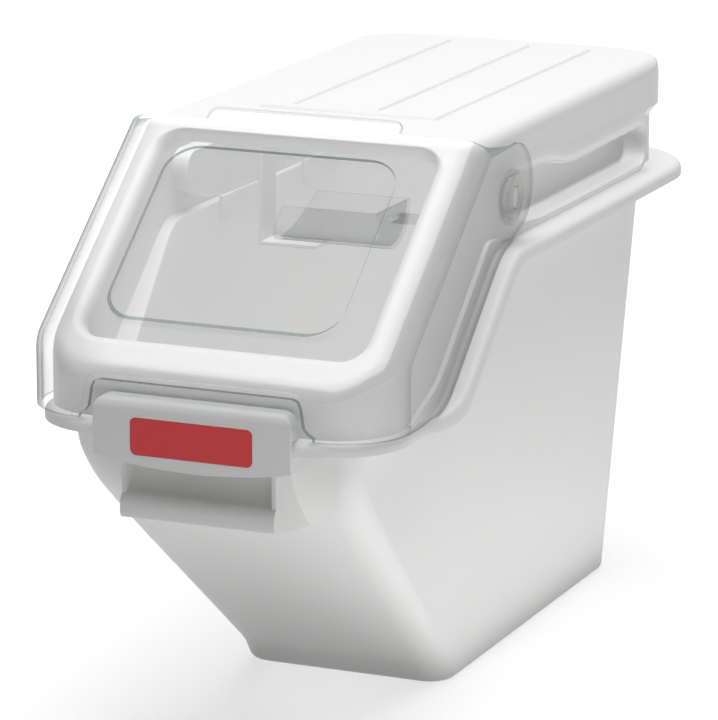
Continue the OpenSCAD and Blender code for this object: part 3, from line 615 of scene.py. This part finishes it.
# %% [markdown]
# ## Small mouldings on the hood
# Three flat runners on the roof carry the lid when it is pushed back, a foot stiffens the edge along the sloped
# rim, and lugs hang inside the tub's walls. They are thin plates with eased edges, so each is an outline pushed
# out a little and bevelled. The runners' edges are softer than a bevel, so they are skinned through a profile.

# %% Track trays, beads, mouth edge and roof runners
RUNNERS_FRONT, RUNNERS_REAR = PIVOT_Y + 16, HOOD_REAR - 33
EASED = [(1.7, -0.8), (1.7, -0.02), (1.3, 0.1), (0.8, 0.45), (0.3, 0.95), (-0.2, 1.4), (-0.8, 1.65), (-1.6, 1.7)]


def hood_part(obj):
    obj.data.materials.append(hood_white)
    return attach(shade(obj), "hood_body")


def grown(outline, g):
    p = np.asarray(outline, float)
    e = np.roll(p, -1, axis=0) - p
    n = np.column_stack([e[:, 1], -e[:, 0]]) / np.linalg.norm(e, axis=1)[:, None]
    m = np.roll(n, 1, axis=0)
    return p + g * (n + m) / (1 + (n * m).sum(1))[:, None]


small = [hood_part(o) for o in trays + beads + [mouth_edge]]
bar, stop = RUNNERS_FRONT + 12, RUNNERS_REAR
fork = [[-66, RUNNERS_FRONT], [66, RUNNERS_FRONT], [66, stop], [56.5, stop + 6], [47, stop], [47, bar], [17, bar],
        [17, stop], [0, stop + 6], [-17, stop], [-17, bar], [-47, bar], [-47, stop], [-56.5, stop + 6], [-66, stop]]
runners = skin("hood_roof_runners", [level(ROOF + up, grown(fork, g)) for g, up in EASED])
small.append(hood_part(runners))
print("hood parts so far", [o.name for o in small])

# %% Feet along the slope and lugs inside the walls
FOOT_H, FOOT_STEPS, LUG_LONG, LUG_LOW, LUG_HIGH = 12, 61, 60, PIVOT_Z - 46, PIVOT_Z - 27.5
LUGS = ("front", PIVOT_Y + 44), ("rear", HOOD_REAR - 165)


def prism(name, outline, place, a, b):
    return skin(name, [place(end, np.asarray(outline, float)) for end in (a, b)])


k = np.linspace(0, 20, FOOT_STEPS)
rise = FOOT_H * np.minimum(1, np.minimum(0.1 + k / 5, 0.3 + (20 - k) / 3))
sole = rim_line(np.linspace(SLOPE_START - 30, SLOPE_END - 4, FOOT_STEPS))
foot = np.concatenate([sole, (sole + np.column_stack([-0.45 * rise, rise]))[::-1]])
for hand, side in HANDS:
    ends = sorted((hand * (HOOD_W - 1), hand * (HOOD_W + 3.5)))
    small.append(hood_part(round_edges(prism("hood_foot_" + side, foot, facing_x, *ends), 1.0, 3, 50)))
    for tag, y in LUGS:
        lug = [[y, LUG_LOW], [y + LUG_LONG, LUG_LOW], [y + LUG_LONG, LUG_HIGH], [y, LUG_HIGH]]
        ends = sorted((hand * (HOOD_W - 16), hand * (HOOD_W - 13)))
        small.append(hood_part(round_edges(prism(f"hood_lug_{tag}_{side}", lug, facing_x, *ends), 0.8, 2)))
print("hood parts", len(small), "with", [o.name for o in small[-6:]])

# %% [markdown]
# ## Clear lid
# The lid is a clear shell: a sloped panel, a short front, side walls that end in round ears on the pivots, and a
# tab to push on. It is skinned from side views like the hood and hollowed with a smaller skin. Then it gets its
# tab, the shallow recess of its window, a notch with a bead over the handle block, and the pin holes. All are cut
# from or joined to one mesh, so that light meets one closed wall everywhere.

# %% Side views of the lid
EAR_Y, EAR_Z, EAR_R, EAR_ARC = PIVOT_Y - 2, PIVOT_Z + 7, 31.0, np.radians(np.linspace(-80, 100, 31))
PANEL_R, LID_NOSE_R, LID_CHIN_R, BEND_STEPS, CORE_LOW = 19, 46, 16, 12, 177


def lid_lines(x, half, wall):
    depth = edge_inset(x, half, PANEL_R - wall) + wall
    front = LID_FRONT + edge_inset(x, half, LID_NOSE_R - wall) + wall
    line = LID_TOP_Z - depth / COS
    return depth, line, [front, line + (front - LID_TOP_Y) * TAN]


def lid_side(x, half):
    depth, line, chin = lid_lines(x, half, 0)
    ear = np.column_stack([EAR_Y + EAR_R * np.cos(EAR_ARC), EAR_Z + EAR_R * np.sin(EAR_ARC)])
    run = 0.69 * depth
    top = [LID_TOP_Y + run, line + run * TAN]
    front = fillet(top, chin, [chin[0], CHIN_LOW], LID_CHIN_R, BEND_STEPS)
    return np.concatenate([ear, [top], front, rim_line(np.linspace(chin[0], PIVOT_Y - 12, 61))])


def lid_inside(x, half):
    depth, line, chin = lid_lines(x, half, WALL)
    top, rear = [LID_TOP_Y + 40, line + 40 * TAN], PIVOT_Y + 124
    front = fillet(top, chin, [chin[0], CHIN_LOW], LID_CHIN_R - WALL, BEND_STEPS)
    return np.concatenate([[[rear, CORE_LOW], [rear, top[1]], top], front, [[chin[0], CORE_LOW]]])


def lid_stations(half, r):
    return stations(half, r, 20, 8)


def lid_skin(name, side, half, r, slot=None):
    return skin(name, [facing_x(x, side(x, half)) for x in lid_stations(half, r)], slot=slot)


print("points in a side view", len(lid_side(0, LID_W)), "outside,", len(lid_inside(0, LID_W - WALL)), "inside")

# %% Shell with its tab, and a finish for each zone
CLEAR, EDGE, RIM, BEND = range(len(lid_plastics))
LAST_EAR, FIRST_LOW = 30, 45
TAB = [(0, 0.9), (0.3, 0.3), (0.9, 0), (2.1, 0), (2.7, 0.3), (3, 0.9)]
bent = np.abs(lid_stations(LID_W, LID_NOSE_R)) > LID_W - 18


def lid_zone(row, i):
    if i <= LAST_EAR or i >= FIRST_LOW:
        return RIM
    return BEND if bent[row] else CLEAR


lid = lid_skin("lid_clear_shell", lid_side, LID_W, LID_NOSE_R, lid_zone)
for plastic in lid_plastics:
    lid.data.materials.append(plastic)
carve(lid, lid_skin("core", lid_inside, LID_W - WALL, LID_NOSE_R - WALL))
tab = [on_slope(round_rect(-72, 72, -12, 14, 7, -g), d) for d, g in TAB]
carve(lid, skin("tab", tab, slot=lambda row, i: RIM), "UNION")
print("lid faces", len(lid.data.polygons))

# %% Window recess
WINDOW_R = 24
RECESS = [(-2, (0, 0, 0, 0)), (0, (0, 0, 0, 0)), (0.9, (1.6, 1.5, 0.15, 3.4))]


def window(left, top, right, low):
    x0, x1 = 14 - MOUTH_W + left, MOUTH_W - 18 - right
    y0, y1 = MOUTH_TOP + 19 + top, MOUTH_END - 8 - low
    return round_rect(x0, x1, y0, y1, WINDOW_R - (left + top) / 2, 0, 16)


recess = [on_slope(window(*inset), d) for d, inset in RECESS]
carve(lid, skin("window", recess, slot=lambda row, i: EDGE))
print("window", [round(v) for v in np.ptp(window(0, 0, 0, 0), axis=0)], "mm")

# %% Notch over the handle block, with a bead, and pin holes
NOTCH_W, NOTCH_TOP, HOLE_R, HOLE_REACH = 77.5, 261.0, 8.05, 10
NOTCH_BEAD = [(0.8, 4.6), (-0.3, 4.6), (-0.9, 4.1), (-1.2, 3.2), (-1.2, 1.2)]


def facing_y(y, outline):
    return np.column_stack([outline[:, 0], np.full(len(outline), y), outline[:, 1]])


def turned(name, profile, centre=(PIVOT_Y, PIVOT_Z), n=64, start=0):
    a = np.radians(np.arange(n) * 360 / n + start)
    y, z = centre
    return skin(name, [facing_x(x, np.column_stack([y + r * np.cos(a), z + r * np.sin(a)])) for x, r in profile])


half_notch = np.concatenate([
    np.array([[8, -37], [7, 3], [3, 5.5], [0, 9]]) + [NOTCH_W, RIM_LOW],
    np.array([[-2, -2], [-4, 2.4], [-8, 4]]) + [NOTCH_W, NOTCH_TOP]])
notch = np.concatenate([half_notch, half_notch[::-1] * [-1, 1]])
above = [-999, RIM_LOW + 1.2]
bead = [facing_y(LID_FRONT + d, np.maximum(grown(notch, g), above)) for d, g in NOTCH_BEAD]
carve(lid, skin("notch_bead", bead), "UNION")
carve(lid, skin("notch", [facing_y(LID_FRONT + d, notch) for d in (-33, 57)], slot=lambda row, i: EDGE))
for hand, side in HANDS:
    hole = [(hand * (LID_W + d), HOLE_R) for d in (-HOLE_REACH, HOLE_REACH)]
    carve(lid, turned("pin_hole", hole))
shade(lid, 30)
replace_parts(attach(lid, "lid_body"), "lid")
print("lid faces after cuts", len(lid.data.polygons))

# %% [markdown]
# ## Pivots
# Each ear turns on a stepped pin: a boss in the hood's track, a shoulder inside the ear and a snapped cap outside
# it. A pin is a turned shape, so its outline is spun round the hinge line, with every edge eased.

# %% Turned pivot pins
inner = LID_W - WALL
pin = [(HOOD_W - 12.5, 10.8), (HOOD_W - 12.1, 11.6), (HOOD_W - 11.3, 12), (inner - 3, 12), (inner - 3, 18.7),
       (inner - 2.2, 19.5), (inner - 0.8, 19.5), (inner, 18.7), (inner, 8), (LID_W, 8), (LID_W, 19.6),
       (LID_W + 0.4, 20), (LID_W + 1.0, 20), (LID_W + 1.5, 19.5), (LID_W + 1.6, 19), (LID_W + 1.6, 18.4),
       (LID_W + 1.4, 17.9), (LID_W + 0.8, 17.6), (LID_W + 0.6, 17)]
for hand, side in HANDS:
    pivot = shade(turned("pivot_pin_" + side, [(hand * x, r) for x, r in pin]), 40)
    pivot.data.materials.append(pivot_frost)
    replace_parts(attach(pivot, "lid_body"), "pivot_" + side)
    print(pivot.name, "faces", len(pivot.data.polygons))

# %% [markdown]
# ## Handle block, label and finger grip
# A white block is clipped over the middle of the front rim, with a blank red label let into its face, and a grip
# for the fingers sits under it on the tub's front. Block and grip are outlines pushed along one axis and bevelled,
# and the block is also trimmed to its front view, where the lower edge bows down a little.

# %% Outlines of the handle block
FACE, BLOCK_TOP, BLOCK_LOW, CROWN_R, BOW_R, BLOCK_R = -308.362, 256.0, 209.0, 9, 380, 10
UNDER, HOOK, HOOK_Y, BACK = BLOCK_LOW - 26, RIM_LOW - 14, FLANGE_FRONT + 14, HOOD_FRONT - 2.2
a = np.radians(np.linspace(180, 90, 9))
crown = np.column_stack([FACE + CROWN_R + CROWN_R * np.cos(a), BLOCK_TOP - CROWN_R + CROWN_R * np.sin(a)])
side_view = np.concatenate([[[FACE, UNDER]], crown, [
    [BACK, BLOCK_TOP], [BACK, RIM_LOW + 0.2], [FLANGE_FRONT - 0.2, RIM_LOW + 0.2],
    [FLANGE_FRONT - 0.2, RIM_LOW - 9.7], [HOOK_Y, RIM_LOW - 9.7], [HOOK_Y, HOOK], [FACE + 4, HOOK],
    [FACE + 4, UNDER]]])
x = np.linspace(-71.5, 71.5, 49)
bow = np.column_stack([x, BLOCK_LOW + BOW_R - np.sqrt(BOW_R**2 - x**2)])
a = np.radians(np.linspace(0, 90, 11))
corner = np.column_stack([61.5 + BLOCK_R * np.cos(a), BLOCK_TOP - BLOCK_R + BLOCK_R * np.sin(a)])
front_view = np.concatenate([bow, corner, (corner * [-1, 1])[::-1]])
print("block", round(np.ptp(front_view[:, 0])), "mm wide")

# %% Handle block with a pocket for the label
LABEL = -44, 44, 218, 243, 4
POCKET = [(-0.9, 0.9), (-0.3, 0.5), (0.1, 0.25), (0.5, 0.2)]
handle = prism("handle_block_cap", side_view, facing_x, -80, 80)
low = BLOCK_LOW - 30
cheek = [[FACE + 1, low], [FACE + 1, HOOK + 0.5], [FACE + 25, HOOK + 0.5], [FACE + 25, low]]
for ends in ((-85, -67.5), (67.5, 85)):
    carve(handle, prism("cheek", cheek, facing_x, *ends), "UNION")
carve(handle, prism("trim", front_view, facing_y, FACE - 27, FACE + 44), "INTERSECT")
round_edges(handle, 1.3, 3, 40)
carve(handle, skin("pocket", [facing_y(FACE + d, round_rect(*LABEL, g)) for d, g in POCKET]))
handle.data.materials.append(grip_white)
shade(handle)
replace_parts(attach(handle, "tub_body"), "handle_block")
print("handle faces", len(handle.data.polygons))

# %% Blank label in the block's face
FILM_EDGE, FILM_MID = [(0.45, 0), (0.0, 0), (-0.13, -0.1), (-0.2, -0.5)], (-38, 38, 224, 237, 2)
film = [facing_y(FACE + d, round_rect(*LABEL, g)) for d, g in FILM_EDGE]
label = shade(skin("label_blank_film", film + [facing_y(FACE - 0.2, round_rect(*FILM_MID))]))
label.data.materials.append(label_red)
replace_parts(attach(label, "tub_body"), "label_panel")
print("label faces", len(label.data.polygons))

# %% Outlines of the finger grip
GRIP, GRIP_LOW, GRIP_LIP, GRIP_TOP, SEAM = -300.862, 171.0, 191.0, RIM_LOW - 21, 0.15


def wall_front(z):
    return wall_plan(np.full(len(PART), float(z)), 0)[1].min()


def against_wall(high, low, n, gap):
    return [[wall_front(z) - gap, z] for z in np.linspace(high, low, n)]


lip_curve = [(0, -11), (0.5, -8), (1.8, -5.2), (3.8, -2.8), (6.2, -0.8), (8.8, 1.4), (11.2, 4), (13.6, 7.4),
             (16, 11.8), (17.4, 15.6), (18, 19)]
outside = [[GRIP + 4, GRIP_LOW], [GRIP + 1.2, GRIP_LOW + 1.2], [GRIP, GRIP_LOW + 4]]
outside += [[GRIP + y, GRIP_LIP + z] for y, z in lip_curve] + [[GRIP + 18, GRIP_TOP]]
outside += against_wall(GRIP_TOP, GRIP_LOW - 8, 14, SEAM)
plate = [[GRIP + 3.4, GRIP_LIP - 3], [GRIP + 3.4, GRIP_TOP - 0.3]]
plate += against_wall(GRIP_TOP - 0.3, GRIP_LIP - 3, 6, 2 * SEAM)
under_lip = [(3, -12), (5, -7.5), (8, -4), (13, 0), (19, 6)]
lip_y, low_y = wall_front(GRIP_LIP) - 3.5, wall_front(GRIP_LOW) - 3.5
hollow = [[GRIP + 3, GRIP_LOW - 21]] + [[GRIP + y, GRIP_LIP + z] for y, z in under_lip]
hollow += [[lip_y, GRIP_LIP + 6], [lip_y, GRIP_LIP], [low_y, GRIP_LOW - 2]]
hollow += [[wall_front(GRIP_LOW - 21), GRIP_LOW - 21]]
print("grip is", round(GRIP_TOP - GRIP_LOW), "mm high")

# %% Finger grip
grip = prism("finger_grip_bracket", outside, facing_x, -56, 56)
for ends in ((-55.9, -53), (53, 55.9)):
    carve(grip, prism("end_plate", plate, facing_x, *ends), "UNION")
carve(grip, prism("hollow", hollow, facing_x, -53, 53))
round_edges(grip, 0.9, 3, 35)
grip.data.materials.append(grip_white)
shade(grip, 35)
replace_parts(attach(grip, "tub_body"), "finger_grip")
print("grip faces", len(grip.data.polygons))

# %% [markdown]
# ## Scoop and its hanger
# Inside, a clear scoop lies on a hanger under the roof. The bowl is half a thin tube, closed at the back and cut
# on a slant in front, with a flat handle. The hanger is one bent strip with two ledges. Both are cut from or pushed
# along plain outlines, because little more than their edges shows through the lid.

# %% Scoop
SCOOP_Y, BOWL_R, BOWL_A, BOWL_B, HANG_X = PIVOT_Y + 6, 30.0, -46.0, 40.0, HOOD_W - 23
BOWL_Z = ROOF - 90.5 + BOWL_R


def tube(name, r, x0, x1):
    return turned(name, [(x0, r), (x1, r)], (SCOOP_Y, BOWL_Z), 96, 1)


scoop = carve(tube("scoop_clear", BOWL_R, BOWL_A, BOWL_B), tube("hollow", BOWL_R - 2, BOWL_A - 1, BOWL_B - 2))
left, right, over = BOWL_A - 10, BOWL_B + 10, BOWL_Z + 60
slant = [[left, BOWL_Z - 40], [left, over], [right, over], [right, BOWL_Z], [BOWL_A + 15, BOWL_Z],
         [BOWL_A, BOWL_Z - 28], [BOWL_A, BOWL_Z - 40]]
carve(scoop, prism("slant", slant, facing_y, SCOOP_Y - 60, SCOOP_Y + 60))
grasp = round_rect(BOWL_B - 0.6, HANG_X - 4.6, SCOOP_Y - 9, SCOOP_Y + 9, 1, 0, 4)
carve(scoop, prism("grasp", grasp, level, BOWL_Z - 10, BOWL_Z - 6), "UNION")
scoop.data.materials.append(scoop_clear)
shade(scoop, 35)
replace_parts(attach(scoop, "scoop_body"), "scoop")
print("scoop faces", len(scoop.data.polygons))

# %% Hanger
a, b, low, under = BOWL_A - 12, HANG_X, ROOF - 90.85, ROOF - WALL
ledge, ledge_low = BOWL_Z - 10.35, BOWL_Z - 13.35
strip = [[a, low - WALL], [a, under], [b + WALL, under], [b + WALL, ledge_low], [b - 14, ledge_low],
         [b - 14, ledge], [b, ledge], [b, under - WALL], [a + WALL, under - WALL], [a + WALL, low],
         [a + 44, low], [a + 44, low - WALL]]
hanger = round_edges(prism("scoop_hanger_strip", strip, facing_y, SCOOP_Y - 12, SCOOP_Y + 12), 0.8, 3)
hanger.data.materials.append(hanger_white)
shade(hanger)
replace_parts(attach(hanger, "hood_body"), "scoop_hanger")
print("hanger faces", len(hanger.data.polygons))

# %% [markdown]
# ## Studio
# The photograph was taken on white with very soft light from above. A pale paper floor carries the shadow, and a
# white surround fills the rest. Camera, mirror and glass rays see both at full white, while the bin is lit by a
# weaker surround. Close to the bin the floor glows less, so that the shadow stays.

# %% Floor
FLOOR_HALF = 6


def seen_rays(tree):
    path = add(tree, "LightPath")
    seen = path.outputs["Is Camera Ray"]
    for ray in ("Is Glossy Ray", "Is Transmission Ray"):
        seen = add(tree, "Math", {"operation": "MAXIMUM"}, {0: seen, 1: path.outputs[ray]}).outputs[0]
    return seen


corners = np.array([[-1, -1, 0], [1, -1, 0], [1, 1, 0], [-1, 1, 0]]) * FLOOR_HALF
floor = piece("studio_floor", corners / MM, [(0, 1, 2, 3)])
pale, tree = finish("paper_backdrop_white")
matte = add(tree, "BsdfDiffuse", {"Color": linear("#F4F4F4")})
spot = add(tree, "TexCoord").outputs["Object"]
away = add(tree, "VectorMath", {"operation": "LENGTH"}, {0: spot})
reach = add(tree, "MapRange", {"From Min": 0.5, "From Max": 1.6, "To Min": 0.45, "To Max": 1.0}, {
    "Value": away.outputs["Value"]})
lift = add(tree, "Emission", {"Color": linear("#FFFFFF")}, {"Strength": reach.outputs["Result"]})
bright = add(tree, "AddShader", {}, {0: matte.outputs["BSDF"], 1: lift.outputs["Emission"]})
both = add(tree, "MixShader", {}, {0: seen_rays(tree), 1: matte.outputs["BSDF"], 2: bright.outputs["Shader"]})
add(tree, "OutputMaterial", {}, {"Surface": both.outputs["Shader"]})
floor.data.materials.append(pale)
print("floor", pale.name)

# %% White surround
world = bpy.data.worlds.new("white_surround")
bpy.context.scene.world = world
world.use_nodes = True
tree = world.node_tree
tree.nodes.clear()
level_of = add(tree, "MapRange", {"To Min": 0.04, "To Max": 1.0}, {"Value": seen_rays(tree)})
sky = add(tree, "Background", {"Color": linear("#FFFFFF")}, {"Strength": level_of.outputs["Result"]})
add(tree, "OutputWorld", {}, {"Surface": sky.outputs["Background"]})
print("surround", world.name)

# %% [markdown]
# ## Lamps
# One big softbox hangs over the bin and does nearly all the work. A weak low lamp in front lifts the slanted front
# wall, and it is left out of mirrors, where it would show as a streak. A faint light table on the right stands for
# the light that a white table throws back up the bin's side, and the camera doesn't see it.

# %% Lamps
def softbox(name, place, target, size, watts):
    lamp = bpy.data.lights.new(name, "AREA")
    lamp.shape, lamp.size, lamp.size_y, lamp.energy = "RECTANGLE", size[0], size[1], watts
    return aimed(bpy.data.objects.new(name, lamp), place, target)


over = softbox("softbox_over", (0.05, -0.12, 2.4), (0, 0, 0.2), (2.4, 2.4), 55)
front = softbox("softbox_front_low", (0.8, -0.9, 0.05), (0, -0.1, 0.1), (1.0, 0.25), 1.0)
front.visible_glossy = False
table = softbox("light_table_right", (0.30, -0.10, 0.003), (0.30, -0.10, 1.0), (0.40, 1.0), 0.72)
table.visible_camera = False
bpy.context.scene.view_settings.view_transform = "Standard"
print("lamps", [lamp.name for lamp in (over, front, table)])
